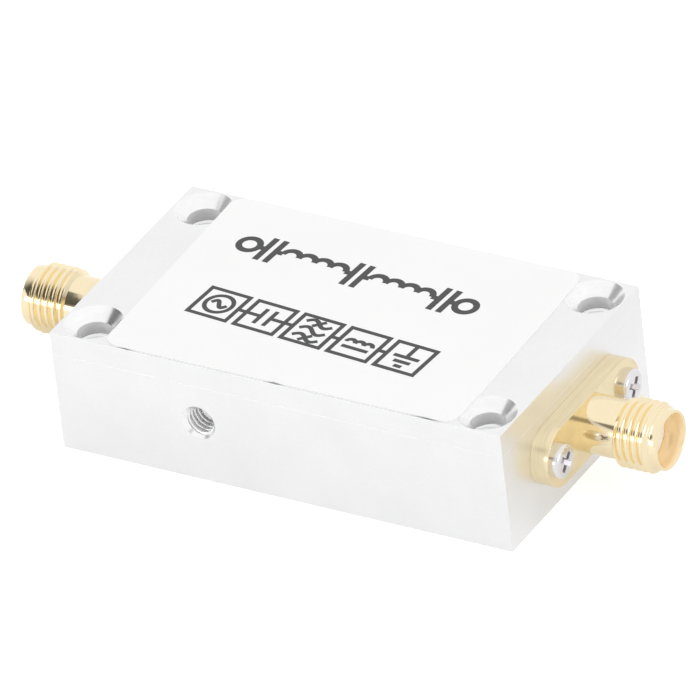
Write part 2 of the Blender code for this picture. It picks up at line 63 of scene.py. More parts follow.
# A gap is its direction, the cosines of its outer and inner edge, and the light that it leaves.
CAMERA_OPENING = ((0.457, -0.702, 0.546), 0.985, 0.996, 0.3)
LEFT_GAP = ((-0.889, -0.132, 0.437), 0.93, 0.975, 0.34)
FRONT_GAP = ((-0.457, -0.746, 0.485), 0.981, 0.993, 0.22)


def add_node(tree, kind, inputs=None, **settings):
    """A node of the kind with its settings, and its inputs by name or number: a value or a socket."""
    node = tree.nodes.new(kind)
    for name, value in settings.items():
        setattr(node, name, value)
    for name, value in (inputs or {}).items():
        if isinstance(value, bpy.types.NodeSocket):
            tree.links.new(value, node.inputs[name])
        else:
            node.inputs[name].default_value = value
    return node


def maths(tree, operation, *values):
    """The result of a Math node on values or sockets."""
    return add_node(tree, "ShaderNodeMath", dict(enumerate(values)), operation=operation).outputs[0]


def smooth_change(tree, value, places, levels):
    """A smooth change of the value from one level to another between two places."""
    ends = {"From Min": places[0], "From Max": places[1], "To Min": levels[0], "To Max": levels[1]}
    settings = {"Value": value, **ends}
    change = add_node(tree, "ShaderNodeMapRange", settings, interpolation_type="SMOOTHSTEP")
    return change.outputs["Result"]


def gap_in_cloth(tree, view, gap):
    """The share of light that is left in and round a gap of the cloth."""
    middle, outer, inner, dark = gap
    facing = add_node(tree, "ShaderNodeVectorMath", {0: view, 1: middle}, operation="DOT_PRODUCT")
    return smooth_change(tree, facing.outputs["Value"], (outer, inner), (1.0, dark))


world = bpy.data.worlds.new("light_tent")
bpy.context.scene.world = world
world.use_nodes = True
tent = world.node_tree
tent.nodes.clear()
view = add_node(tent, "ShaderNodeTexCoord").outputs["Generated"]
level = TENT_WHITE
for gap in (CAMERA_OPENING, LEFT_GAP, FRONT_GAP):
    level = maths(tent, "MULTIPLY", gap_in_cloth(tent, view, gap), level)
glow = add_node(tent, "ShaderNodeBackground", {"Color": (1, 1, 1, 1), "Strength": level})
add_node(tent, "ShaderNodeOutputWorld", {"Surface": glow.outputs["Background"]})


def soft_box(name, width, height, power, distance, azimuth, elevation):
    """A rectangular lamp that faces the object from a compass direction, where 0 is the front."""
    lamp = bpy.data.objects.new(name, bpy.data.lights.new(name, "AREA"))
    bpy.context.scene.collection.objects.link(lamp)
    lamp.data.shape = "RECTANGLE"
    lamp.data.size = width
    lamp.data.size_y = height
    lamp.data.energy = power
    turn, rise = radians(azimuth), radians(elevation)
    back = Vector((sin(turn) * cos(rise), -cos(turn) * cos(rise), sin(rise)))
    lamp.location = back * distance
    lamp.rotation_euler = back.to_track_quat("Z", "Y").to_euler()
    return lamp


soft_box("streak_box", 0.42, 0.18, power=0.64, distance=0.8, azimuth=-28, elevation=11.5)
soft_box("side_box", 0.36, 0.22, power=0.75, distance=0.8, azimuth=80, elevation=19)

# Table
# A seamless white sweep that keeps the soft shadow under the box. Mirrors see it less bright than
# the camera does, and less bright still on the right.
TABLE_HALF = 4.0
TABLE_DROP = 0.02 * MM
TABLE_WHITE = (0.76, 0.76, 0.76, 1.0)
GLOW_SEEN = 0.54
GLOW_MIRRORED = 0.28
GLOW_RIGHT = 0.20
RIGHT_FADE = (24.0 * MM, 34.0 * MM)


def empty_material(name):
    """A material with no nodes yet."""
    material = bpy.data.materials.new(name)
    material.use_nodes = True
    material.node_tree.nodes.clear()
    return material


def place_along(tree, axis, coordinate="Object"):
    """The surface's place along one axis."""
    place = add_node(tree, "ShaderNodeTexCoord").outputs[coordinate]
    return add_node(tree, "ShaderNodeSeparateXYZ", {0: place}).outputs[axis]


sweep = bmesh.new()
bmesh.ops.create_grid(sweep, x_segments=1, y_segments=1, size=TABLE_HALF)
table = bpy.data.objects.new("table", bpy.data.meshes.new("table"))
sweep.to_mesh(table.data)
sweep.free()
bpy.context.scene.collection.objects.link(table)
table.location.z = -TABLE_DROP
paper = empty_material("table_paper")
tree = paper.node_tree
ray = add_node(tree, "ShaderNodeLightPath").outputs
in_mirrors = smooth_change(tree, place_along(tree, "X"), RIGHT_FADE, (GLOW_MIRRORED, GLOW_RIGHT))
by_mirror = maths(tree, "MAXIMUM", ray["Is Glossy Ray"], ray["Is Transmission Ray"])
in_mirrors = maths(tree, "MULTIPLY", by_mirror, in_mirrors)
seen = maths(tree, "MULTIPLY_ADD", ray["Is Camera Ray"], GLOW_SEEN, in_mirrors)
lit = add_node(tree, "ShaderNodeBsdfDiffuse", {"Color": TABLE_WHITE})
own = add_node(tree, "ShaderNodeEmission", {"Strength": seen})
both = add_node(tree, "ShaderNodeAddShader", {0: lit.outputs[0], 1: own.outputs[0]})
add_node(tree, "ShaderNodeOutputMaterial", {"Surface": both.outputs[0]})
table.data.materials.append(paper)

# Dark card
# A small graded card stood by the left connector, where only mirrors see it. It gives the polished
# shell its black patches.
CARD_X = -42.0 * MM
CARD_CORNERS = ((-24.0, 15.0), (3.0, 15.0), (3.0, 30.0), (-9.0, 36.0), (-22.0, 32.0), (-30.0, 27.0))
CARD_FADE = (-10.0 * MM, 2.0 * MM)
CARD_GLOW = (0.09, 0.90)

card = bpy.data.objects.new("dark_card", bpy.data.meshes.new("dark_card"))
corner_points = [(CARD_X, y * MM, z * MM) for y, z in CARD_CORNERS]
card.data.from_pydata(corner_points, [], [range(len(corner_points))])
bpy.context.scene.collection.objects.link(card)
grey = empty_material("graded_grey")
tree = grey.node_tree
fade = smooth_change(tree, place_along(tree, "Y"), CARD_FADE, CARD_GLOW)
own = add_node(tree, "ShaderNodeEmission", {"Strength": fade})
add_node(tree, "ShaderNodeOutputMaterial", {"Surface": own.outputs[0]})
card.data.materials.append(grey)
card.visible_camera = False
card.visible_diffuse = False
card.visible_transmission = False
card.visible_shadow = False

# Milled housing
# One block of aluminium, milled hollow from above and fine blasted, with deburred edges. It holds
# the board on a ledge, and every screw of the module turns into it.
EDGE_ROUND = 0.03 * MM
WALL_AT_ENDS = 5.5 * MM
WALL_AT_SIDES = 3.5 * MM
FLOOR = 2.0 * MM
LEDGE_AT_ENDS = 4.0 * MM
LEDGE_AT_SIDES = 1.5 * MM
POCKET_CORNER = 2.0 * MM
CORNER_HOLE_INSET = 2.85 * MM
TAP_MAJOR = 1.5 * MM
TAP_MINOR = 1.25 * MM
TAP_PITCH = 0.5 * MM
TAP_CHAMFER = 0.2 * MM
CORNER_TAP_DEPTH = 6.0 * MM
SIDE_TAP_DEPTH = 2.6 * MM
SIDE_TAP_X = -8.15 * MM
CORNER_FLARE = 0.25 * MM
SIDE_FLARE = 0.15 * MM
THREAD_START = radians(100)
DRILL_POINT = 0.8 * MM
BORE_RADIUS = 2.15 * MM
SCREW_BORE_RADIUS = 1.05 * MM
SCREW_BORE_DEPTH = 4.3 * MM
SCREW_SPACING = 12.4 * MM
CLEAR = 0.1 * MM
TAP_RUN_OUT = 2.0
WELD = 0.0005 * MM
ROUND_STEPS = 96

box_low, box_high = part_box("housing")
lid_low, lid_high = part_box("lid")
board_low, board_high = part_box("circuit_board")
half_length = box_high.x
half_width = box_high.y
axis_height = lid_high.z / 2


def block(low, high):
    """A rectangular shape between two corners."""
    shape = bmesh.new()
    bmesh.ops.create_cube(shape, size=1.0)
    bmesh.ops.scale(shape, vec=Vector(high) - Vector(low), verts=shape.verts)
    bmesh.ops.translate(shape, vec=(Vector(high) + Vector(low)) / 2, verts=shape.verts)
    return shape


def rounded_outline(length, width, radius, steps=12):
    """Points of a rectangle with round corners, anticlockwise about the origin."""
    points = []
    for quarter, (side, end) in enumerate(((1, 1), (-1, 1), (-1, -1), (1, -1))):
        for step in range(steps + 1):
            angle = (quarter + step / steps) * pi / 2
            x = side * (length / 2 - radius) + radius * cos(angle)
            y = end * (width / 2 - radius) + radius * sin(angle)
            points.append((x, y))
    return points


def prism(outline, bottom, top):
    """A flat plate of the outline between two heights."""
    shape = bmesh.new()
    rim = [shape.verts.new((x, y, bottom)) for x, y in outline]
    floor_face = shape.faces.new(rim)
    raised = bmesh.ops.extrude_face_region(shape, geom=[floor_face])
    moved = [item for item in raised["geom"] if isinstance(item, bmesh.types.BMVert)]
    bmesh.ops.translate(shape, vec=(0, 0, top - bottom), verts=moved)
    return shape


def turn_profile(shape, profile, steps=ROUND_STEPS):
    """Adds a surface turned about local Z from (radius, height) points."""
    points = [shape.verts.new((radius, 0, height)) for radius, height in profile]
    edges = [shape.edges.new(pair) for pair in zip(points, points[1:])]
    turn = {"axis": (0, 0, 1), "cent": (0, 0, 0), "angle": 2 * pi, "steps": steps}
    bmesh.ops.spin(shape, geom=points + edges, **turn)


# Half a pitch of a tapped thread from its outer edge to its inner one, as shares of the pitch and
# of the depth
TAPPED_OUTER = ((0, 1), (0.03, 0.98), (0.06, 0.92), (0.09, 0.83))
TAPPED_FORM = (*TAPPED_OUTER, (0.20, 0.44), (0.30, 0.09), (0.33, 0.02), (0.36, 0))


def helical_thread(shape, form, low, high, root, crest, pitch, slope, steps=ROUND_STEPS):
    """Adds a right-handed thread about local Z, which runs out at the (radius, height) of each end."""
    back = [(1 - place, share) for place, share in reversed(form[1:])]
    rows = [(place * pitch, share) for place, share in (*form, *back)]
    laps = int((high[1] - low[1]) / pitch) + 2
    grid = []
    for step in range(steps):
        angle = 2 * pi * step / steps
        column = []
        for lap in range(laps + 1):
            for place, share in rows:
                height = low[1] + (lap - 1) * pitch + place + pitch * step / steps
                height = min(max(height, low[1]), high[1])
                fade_in = low[0] + (height - low[1]) * slope
                fade_out = high[0] + (high[1] - height) * slope
                radius = min(root + (crest - root) * share, fade_in, fade_out)
                column.append(shape.verts.new((radius * cos(angle), radius * sin(angle), height)))
        grid.append(column)
    count = len(grid[0])
    for step in range(steps):
        here = grid[step]
        there = grid[(step + 1) % steps]
        lift = len(rows) if step == steps - 1 else 0
        for row in range(count - 1):
            upper = min(row + 1 + lift, count - 1)
            lower = min(row + lift, count - 1)
            rim = (here[row], there[lower], there[upper], here[row + 1])
            shape.faces.new(list(dict.fromkeys(rim)))


def tidy_shape(shape):
    """Welds a shape's doubled points, drops flat faces and turns all faces out."""
    bmesh.ops.remove_doubles(shape, verts=shape.verts, dist=WELD)
    bmesh.ops.dissolve_degenerate(shape, edges=shape.edges, dist=WELD)
    bmesh.ops.recalc_face_normals(shape, faces=shape.faces)


def tap_shape(depth):
    """The hollow of a tapped blind hole, mouth at local Z = 0, with its chamfer and drill point."""
    over = 2 * TAP_CHAMFER
    shape = bmesh.new()
    ends = (TAP_MINOR, -depth), (TAP_MINOR, over)
    helical_thread(shape, TAPPED_FORM, *ends, TAP_MINOR, TAP_MAJOR, TAP_PITCH, TAP_RUN_OUT)
    turn_profile(shape, [(0, over), (TAP_MINOR, over)])
    turn_profile(shape, [(TAP_MINOR, -depth), (0, -depth - DRILL_POINT)])
    tidy_shape(shape)
    return shape


def tap_mouth(flare):
    """The chamfer at a tapped hole's mouth, wider than the thread by the flare."""
    wide = TAP_MAJOR + flare
    foot = TAP_MINOR - wide
    shape = bmesh.new()
    turn_profile(shape, [(0, CLEAR), (wide + CLEAR, CLEAR), (TAP_MINOR, foot), (0, foot)])
    tidy_shape(shape)
    return shape


def countersink_shape(radius, small, depth_below):
    """The hollow of a cone from a mouth radius at Z = 0 down to a straight hole."""
    over = 2 * CLEAR
    shape = bmesh.new()
    cone = [(0, over), (radius + over, over), (small, small - radius)]
    turn_profile(shape, [*cone, (small, -depth_below), (0, -depth_below)])
    tidy_shape(shape)
    return shape


def plain_hole(radius, low, high, steps=ROUND_STEPS):
    """The hollow of a round hole along local Z between two heights."""
    shape = bmesh.new()
    turn_profile(shape, [(0, high), (radius, high), (radius, low), (0, low)], steps)
    tidy_shape(shape)
    return shape


def place_shape(shape, matrix):
    """Moves the shape by the matrix."""
    bmesh.ops.transform(shape, matrix=matrix, verts=shape.verts)
    return shape


def shape_object(name, shape):
    """An object at the origin that holds the shape."""
    item = bpy.data.objects.new(name, bpy.data.meshes.new(name))
    bmesh.ops.recalc_face_normals(shape, faces=shape.faces)
    shape.to_mesh(item.data)
    shape.free()
    bpy.context.scene.collection.objects.link(item)
    return item


def soften(item, width, segments=3, angle=40):
    """Rounds the sharp edges of an object."""
    bevel = item.modifiers.new("edge_round", "BEVEL")
    bevel.width = width
    bevel.segments = segments
    bevel.limit_method = "ANGLE"
    bevel.angle_limit = radians(angle)


def settle(item):
    """Keeps the object's evaluated mesh and drops its modifiers."""
    bpy.context.view_layer.update()
    graph = bpy.context.evaluated_depsgraph_get()
    mesh = bpy.data.meshes.new_from_object(item.evaluated_get(graph))
    item.modifiers.clear()
    item.data = mesh


def combine(item, others, operation="DIFFERENCE"):
    """Cuts the other shapes out of the object, or joins them to it, and removes them."""
    for other in others:
        boolean = item.modifiers.new("combine", "BOOLEAN")
        boolean.operation = operation
        boolean.solver = "EXACT"
        boolean.object = other
    settle(item)
    for other in others:
        bpy.data.objects.remove(other)


def shade(item, angle=30):
    """Smooth shading on round faces, with the corners kept sharp and the flat faces plain."""
    item.data.shade_smooth()
    item.data.set_sharp_from_angle(angle=radians(angle))
    item.modifiers.new("face_weights", "WEIGHTED_NORMAL").keep_sharp = True
    settle(item)


def make_group(name, inputs, outputs):
    """A shader node group with named inputs, each with its kind and value, and named outputs."""
    group = bpy.data.node_groups.new(name, "ShaderNodeTree")
    for label, (kind, value) in inputs.items():
        socket = group.interface.new_socket(label, in_out="INPUT", socket_type="NodeSocket" + kind)
        if value is not None:
            socket.default_value = value
    for label, kind in outputs.items():
        group.interface.new_socket(label, in_out="OUTPUT", socket_type="NodeSocket" + kind)
    entry = group.nodes.new("NodeGroupInput").outputs
    return group, entry


def close_group(group, results):
    """Wires the group's outputs."""
    leave = group.nodes.new("NodeGroupOutput")
    for name, socket in results.items():
        group.links.new(socket, leave.inputs[name])


# The group lays a fine grain and slow clouds over a surface: a colour, a roughness and a height.
grain_group, entry = make_group(
    "grain_and_clouds",
    {
        "Position": ("Vector", None),
        "Colour": ("Color", (0.8, 0.8, 0.8, 1.0)),
        "Grain Scale": ("Float", 4000.0),
        "Cloud Scale": ("Float", 120.0),
        "Grain Contrast": ("Float", 0.05),
        "Cloud Contrast": ("Float", 0.04),
        "Roughness": ("Float", 0.4),
        "Roughness Spread": ("Float", 0.1),
    },
    {"Colour": "Color", "Roughness": "Float", "Height": "Float"},
)
grain = add_node(
    grain_group,
    "ShaderNodeTexNoise",
    {"Vector": entry["Position"], "Scale": entry["Grain Scale"], "Detail": 3.0, "Roughness": 0.6},
).outputs["Fac"]
cloud = add_node(
    grain_group,
    "ShaderNodeTexNoise",
    {"Vector": entry["Position"], "Scale": entry["Cloud Scale"], "Detail": 4.0, "Roughness": 0.55},
).outputs["Fac"]
grain_offset = maths(grain_group, "SUBTRACT", grain, 0.5)
cloud_offset = maths(grain_group, "SUBTRACT", cloud, 0.5)
grain_part = maths(grain_group, "MULTIPLY", grain_offset, entry["Grain Contrast"])
both_parts = maths(grain_group, "MULTIPLY_ADD", cloud_offset, entry["Cloud Contrast"], grain_part)
tinted = {0: entry["Colour"], "Scale": maths(grain_group, "ADD", both_parts, 1.0)}
tint = add_node(grain_group, "ShaderNodeVectorMath", tinted, operation="SCALE").outputs[0]
rough_parts = cloud_offset, entry["Roughness Spread"], entry["Roughness"]
rough = maths(grain_group, "MULTIPLY_ADD", *rough_parts)
close_group(grain_group, {"Colour": tint, "Roughness": rough, "Height": grain})


def surface(name, colour, metallic, bump, look, stretch=(1, 1, 1)):
    """A Principled material with the grain group over it, and the grain's relief in metres."""
    material = bpy.data.materials.new(name)
    material.use_nodes = True
    tree = material.node_tree
    shader = tree.nodes["Principled BSDF"]
    shader.inputs["Metallic"].default_value = metallic
    place = add_node(tree, "ShaderNodeTexCoord").outputs["Object"]
    mapped = add_node(tree, "ShaderNodeMapping", {"Vector": place, "Scale": stretch})
    group = add_node(tree, "ShaderNodeGroup", node_tree=grain_group)
    tree.links.new(mapped.outputs[0], group.inputs["Position"])
    group.inputs["Colour"].default_value = (*colour, 1.0)
    for label, value in look.items():
        group.inputs[label].default_value = value
    tree.links.new(group.outputs["Colour"], shader.inputs["Base Color"])
    tree.links.new(group.outputs["Roughness"], shader.inputs["Roughness"])
    height = {"Strength": 1.0, "Distance": bump, "Height": group.outputs["Height"]}
    relief = add_node(tree, "ShaderNodeBump", height)
    tree.links.new(relief.outputs["Normal"], shader.inputs["Normal"])
    return material


def finish_piece(item, materials, slot, *nodes):
    """Gives a piece its materials, fixes it to the module and hides the solids it stands for."""
    item.data.materials.clear()
    for material in materials:
        item.data.materials.append(material)
    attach(item, "root")
    if nodes:
        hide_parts(*nodes)


# A face in a hole is on its wall up to one slant, and flat from the other one on
WALL_SLANT = 0.1
FLAT_SLANT = 0.95


def mark_holes(item, holes, cone=1, wall=1):
    """Gives the faces in round holes their materials. A hole is a point, an axis and a radius."""
    for point, axis, radius in holes:
        along = "XYZ".index(axis)
        for face in item.data.polygons:
            offset = Vector(face.center) - point
            offset[along] = 0
            slant = abs(face.normal[along])
            if offset.length < radius and slant < FLAT_SLANT:
                face.material_index = wall if slant < WALL_SLANT else cone


def corners(inset_x, inset_y):
    """The four points that lie inside the given half sizes."""
    return [(side * inset_x, end * inset_y) for side in (-1, 1) for end in (-1, 1)]


blasted_finish = {
    "colour": (0.89, 0.89, 0.895),
    "metallic": 1.0,
    "bump": 0.004 * MM,
    "look": {
        "Grain Scale": 5200.0,
        "Cloud Scale": 160.0,
        "Grain Contrast": 0.10,
        "Cloud Contrast": 0.10,
        "Roughness": 0.33,
        "Roughness Spread": 0.10,
    },
}
blasted = surface("blasted_aluminium", **blasted_finish)
turned_metal = surface(
    "turned_aluminium",
    colour=(0.95, 0.95, 0.952),
    metallic=0.9,
    bump=0.001 * MM,
    look={
        "Grain Scale": 5000.0,
        "Cloud Scale": 900.0,
        "Grain Contrast": 0.10,
        "Cloud Contrast": 0.10,
        "Roughness": 0.21,
        "Roughness Spread": 0.12,
    },
    stretch=(0.3, 0.3, 1),
)
# The tapped threads: a smoother finish than the blasted faces, and a lighter, partly non-metal colour
# that is painted light in place of light bouncing in the holes.
tap_metal_painted_light = surface(
    "tap_aluminium_painted_light",
    colour=(0.96, 0.96, 0.962),
    metallic=0.7,
    bump=0.001 * MM,
    look={
        "Grain Scale": 7000.0,
        "Cloud Scale": 700.0,
        "Grain Contrast": 0.06,
        "Cloud Contrast": 0.06,
        "Roughness": 0.24,
        "Roughness Spread": 0.03,
    },
)
housing = shape_object("milled_housing", block(box_low, box_high))
soften(housing, EDGE_ROUND)
settle(housing)

ledge_height = board_low.z - CLEAR
pocket_length = 2 * (half_length - WALL_AT_ENDS)
pocket_width = 2 * (half_width - WALL_AT_SIDES)
lower_length = pocket_length - 2 * LEDGE_AT_ENDS
lower_width = pocket_width - 2 * LEDGE_AT_SIDES
upper = rounded_outline(pocket_length, pocket_width, POCKET_CORNER)
lower = rounded_outline(lower_length, lower_width, POCKET_CORNER)
hollows = [
    shape_object("upper_pocket", prism(upper, ledge_height, lid_high.z)),
    shape_object("lower_pocket", prism(lower, FLOOR, lid_high.z)),
]
corner_places = corners(half_length - CORNER_HOLE_INSET, half_width - CORNER_HOLE_INSET)
for x, y in corner_places:
    seat = Matrix.Translation((x, y, box_high.z))
    hollows.append(shape_object("corner_tap", place_shape(tap_shape(CORNER_TAP_DEPTH), seat)))
    hollows.append(shape_object("corner_mouth", place_shape(tap_mouth(CORNER_FLARE), seat)))
for side in (-1, 1):
    outward = Matrix.Translation((side * half_length, 0, axis_height))
    outward = outward @ Matrix.Rotation(side * pi / 2, 4, "Y")
    bore = plain_hole(BORE_RADIUS, -WALL_AT_ENDS - CLEAR, CLEAR)
    hollows.append(shape_object("connector_bore", place_shape(bore, outward)))
    for end in (-1, 1):
        bore = plain_hole(SCREW_BORE_RADIUS, -SCREW_BORE_DEPTH, CLEAR, steps=40)
        shift = Matrix.Translation((0, end * SCREW_SPACING / 2, 0))
        hollows.append(shape_object("screw_bore", place_shape(bore, outward @ shift)))
front = Matrix.Translation((SIDE_TAP_X, -half_width, axis_height))
front = front @ Matrix.Rotation(pi / 2, 4, "X")
start = Matrix.Rotation(THREAD_START, 4, "Z")
hollows.append(shape_object("side_tap", place_shape(tap_shape(SIDE_TAP_DEPTH), front @ start)))
hollows.append(shape_object("side_mouth", place_shape(tap_mouth(SIDE_FLARE), front)))
combine(housing, hollows)
shade(housing)
finish_piece(housing, (blasted, tap_metal_painted_light), "housing_aluminium", "housing")
tapped = [(Vector((x, y, 0)), "Z", TAP_MAJOR + CORNER_FLARE) for x, y in corner_places]
tapped.append((Vector((SIDE_TAP_X, 0, axis_height)), "Y", TAP_MAJOR + SIDE_FLARE))
# The faces in the tapped holes take the lighter tapped finish with its painted light.
mark_holes(housing, tapped)

# Lid
# A plate of the same aluminium that lies on the housing, with a countersunk hole at each corner.
# Its screws are gone, and the holes show their turned cones.
HOLE_RADIUS = 1.6 * MM
CONE_RADIUS = 2.65 * MM

lid = shape_object("lid_plate", block((lid_low.x, lid_low.y, box_high.z), lid_high))
soften(lid, EDGE_ROUND)
settle(lid)
cones = []
for x, y in corner_places:
    hole = countersink_shape(CONE_RADIUS, HOLE_RADIUS, lid_high.z - box_high.z + CLEAR)
    cones.append(shape_object("cone", place_shape(hole, Matrix.Translation((x, y, lid_high.z)))))
combine(lid, cones)
shade(lid)
drilled_metal = surface(
    "drilled_aluminium",
    colour=(0.95, 0.95, 0.95),
    metallic=0.35,
    bump=0.001 * MM,
    look={
        "Grain Scale": 7000.0,
        "Cloud Scale": 900.0,
        "Grain Contrast": 0.08,
        "Cloud Contrast": 0.10,
        "Roughness": 0.34,
        "Roughness Spread": 0.10,
    },
    stretch=(0.1, 0.1, 1),
)
lid_metal = surface("lid_aluminium", **blasted_finish)
finish_piece(lid, (lid_metal, turned_metal, drilled_metal), "lid_aluminium", "lid")
mark_holes(lid, [(Vector((x, y, 0)), "Z", CONE_RADIUS) for x, y in corner_places], wall=2)

# Sticker
# A white synthetic paper label, cut a little out of square and stuck over the middle of the lid,
# flush with its long edges and over the rims of the holes. Its front edge has come up at three
# spots, each given by its place, its half width and its rise.
LABEL_CORNER = 1.5 * MM
LABEL_LEAN = radians(1.2)
LABEL_TOP = 0.12 * MM
LIFTED_SPOTS = (
    (-14.9 * MM, 0.6 * MM, 0.07 * MM),
    (0.1 * MM, 0.6 * MM, 0.10 * MM),
    (15.2 * MM, 0.9 * MM, 0.09 * MM),
)
LIFT_REACH = 0.45 * MM
CUTS_INWARD = (0.5, 1, 1.5, 2, 3, 4)
CUTS_ALONG = 8

label_low, label_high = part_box("label")
label_width = label_high.y - label_low.y
lean = tan(LABEL_LEAN)
label_length = label_high.x - label_low.x - (label_width - 2 * LABEL_CORNER) * lean
outline = [(x - y * lean, y) for x, y in rounded_outline(label_length, label_width, LABEL_CORNER)]
sticker_top = lid_high.z + LABEL_TOP
sheet = prism(outline, lid_high.z, sticker_top)
cuts = [((0, label_low.y + step * LIFT_REACH, 0), (0, 1, 0)) for step in CUTS_INWARD]
for middle, reach, _ in LIFTED_SPOTS:
    for step in range(-CUTS_ALONG, CUTS_ALONG + 1):
        cuts.append(((middle + step / 3 * reach, 0, 0), (1, 0, 0)))
for point, normal in cuts:
    everything = sheet.verts[:] + sheet.edges[:] + sheet.faces[:]
    plane = {"plane_co": point, "plane_no": normal}
    bmesh.ops.bisect_plane(sheet, geom=everything, dist=2 * WELD, **plane)
for vertex in sheet.verts:
    inward = (vertex.co.y - label_low.y) / LIFT_REACH
    for middle, reach, rise in LIFTED_SPOTS:
        sideways = (vertex.co.x - middle) / reach
        vertex.co.z += rise * exp(-sideways * sideways - inward)
label = shape_object("white_sticker", sheet)
shade(label)
sticker = surface(
    "sticker_paper",
    colour=(0.945, 0.945, 0.943),
    metallic=0.0,
    bump=0.003 * MM,
    look={
        "Grain Scale": 2600.0,
        "Cloud Scale": 90.0,
        "Grain Contrast": 0.02,
        "Cloud Contrast": 0.05,
        "Roughness": 0.55,
        "Roughness Spread": 0.2,
    },
)
finish_piece(label, (sticker,), "label", "label")

# Print on the sticker
# Two rows of plain circuit signs in dark grey ink, one a ladder of coils and capacitors and one
# five boxed signs. They lie as crooked as the sticker was fed through the printer.
INK_HEIGHT = 0.008 * MM
INK_STEP = 0.0003 * MM
SAME_SPOT = 0.01 * MM
MITRE_LIMIT = 0.4
# Each row runs between two ends on the lid. Its ends and sizes are in millimetres.
ROW_LINES = (((-13.8, 6.0), (10.9, 4.0)), ((-12.6, -3.2), (11.0, -5.1)))
RING_STEPS = 32
LADDER_STROKE = 0.60
LADDER_RING = 0.95
LADDER_LEAD = 0.75
LADDER_HUMPS = 4
COIL_HUMP = 0.80
PLATE_GAP = 1.0
PLATE_HALF = 1.8
SIGN_STROKE = 0.42
SIGN_SIZE = 4.0
SIGN_PITCH = 4.9
SIGN_MARGIN = 0.65
SIGN_HUMPS = 3
SOURCE_RING = 1.3
SOURCE_WAVE = (0.8, 0.45)
SIGN_PLATE_HALF = 1.2
WAVE_LEVEL = 1.15
WAVE_HEIGHT = 0.42
WAVE_STRIKE = (0.45, 0.5)
CORE_LEVEL = -0.7
EARTH_BARS = ((0.1, 1.3), (-0.65, 0.85), (-1.35, 0.4))


def ribbon(shape, points, width, bottom, top, closed=False):
    """Adds a flat stroke of the width along the points, with mitred bends."""
    count = len(points)
    rails = []
    for index, point in enumerate(points):
        here = Vector(point)
        before = Vector(points[index - 1]) if index or closed else None
        after = Vector(points[(index + 1) % count]) if index < count - 1 or closed else None
        sides = []
        if before is not None:
            sides.append((here - before).normalized())
        if after is not None:
            sides.append((after - here).normalized())
        normals = [Vector((-side.y, side.x)) for side in sides]
        mitre = sum(normals, Vector((0, 0))).normalized()
        reach = width / 2 / max(mitre.dot(normals[0]), MITRE_LIMIT)
        left, right = here + mitre * reach, here - mitre * reach
        section = ((*left, top), (*right, top), (*right, bottom), (*left, bottom))
        rails.append([shape.verts.new(spot) for spot in section])
    spans = list(zip(rails, rails[1:])) + ([(rails[-1], rails[0])] if closed else [])
    for here, there in spans:
        for corner in range(4):
            after = (corner + 1) % 4
            shape.faces.new((here[corner], here[after], there[after], there[corner]))
    if not closed:
        shape.faces.new(rails[0])
        shape.faces.new(rails[-1])


def arc(middle, radius, start, turn, steps=16):
    """Points of a circular arc, its angles in half turns."""
    angles = [pi * (start + turn * step / steps) for step in range(steps + 1)]
    return [(middle[0] + radius * cos(angle), middle[1] + radius * sin(angle)) for angle in angles]


def wave(left, right, middle, height, steps=24):
    """Points of one sine wave between two ends."""
    points = []
    for step in range(steps + 1):
        share = step / steps
        points.append((left + (right - left) * share, middle + height * sin(2 * pi * share)))
    return points


def humps(left, count, radius):
    """Strokes of a coil sign: half circles side by side."""
    middles = [left + radius * (2 * number + 1) for number in range(count)]
    return [(arc((middle, 0), radius, 1, -1), False) for middle in middles]


def ring(middle, radius):
    """The stroke of a full circle on the row's middle line."""
    return arc((middle, 0), radius, 0, 2, RING_STEPS), True


def bar(start, end):
    """A straight stroke between two points."""
    return [start, end], False


def ladder_row():
    """Strokes of the filter's ladder, each its points and whether it is closed."""
    strokes = [ring(LADDER_RING, LADDER_RING)]
    at = 2 * LADDER_RING
    for kind in ("plates", "coil", "plates", "coil", "plates"):
        strokes.append(bar((at, 0), (at + LADDER_LEAD, 0)))
        at += LADDER_LEAD
        if kind == "plates":
            for place in (at, at + PLATE_GAP):
                strokes.append(bar((place, -PLATE_HALF), (place, PLATE_HALF)))
            at += PLATE_GAP
        else:
            strokes += humps(at, LADDER_HUMPS, COIL_HUMP)
            at += 2 * LADDER_HUMPS * COIL_HUMP
    strokes.append(bar((at, 0), (at + LADDER_LEAD, 0)))
    strokes.append(ring(at + LADDER_LEAD + LADDER_RING, LADDER_RING))
    return strokes


def boxed_sign(kind, middle):
    """Strokes inside one box of the row of signs."""
    half = SIGN_SIZE / 2
    left, right = middle - half + SIGN_MARGIN, middle + half - SIGN_MARGIN
    strokes = []
    if kind == "source":
        reach, swing = SOURCE_WAVE
        strokes.append(ring(middle, SOURCE_RING))
        strokes.append((wave(middle - reach, middle + reach, 0, swing), False))
    elif kind == "plates":
        for side in (-1, 1):
            end = middle + side * PLATE_GAP / 2
            strokes.append(bar((middle + side * half, 0), (end, 0)))
            strokes.append(bar((end, -SIGN_PLATE_HALF), (end, SIGN_PLATE_HALF)))
    elif kind == "waves":
        for level in (-WAVE_LEVEL, 0, WAVE_LEVEL):
            strokes.append((wave(left, right, level, WAVE_HEIGHT), False))
        reach, rise = WAVE_STRIKE
        for level in (-WAVE_LEVEL, WAVE_LEVEL):
            strokes.append(bar((middle - reach, level - rise), (middle + reach, level + rise)))
    elif kind == "coil":
        strokes += humps(left, SIGN_HUMPS, (right - left) / (2 * SIGN_HUMPS))
        strokes.append(bar((left, CORE_LEVEL), (right, CORE_LEVEL)))
    elif kind == "earth":
        strokes.append(bar((middle, half), (middle, EARTH_BARS[0][0])))
        for level, reach in EARTH_BARS:
            strokes.append(bar((middle - reach, level), (middle + reach, level)))
    return strokes


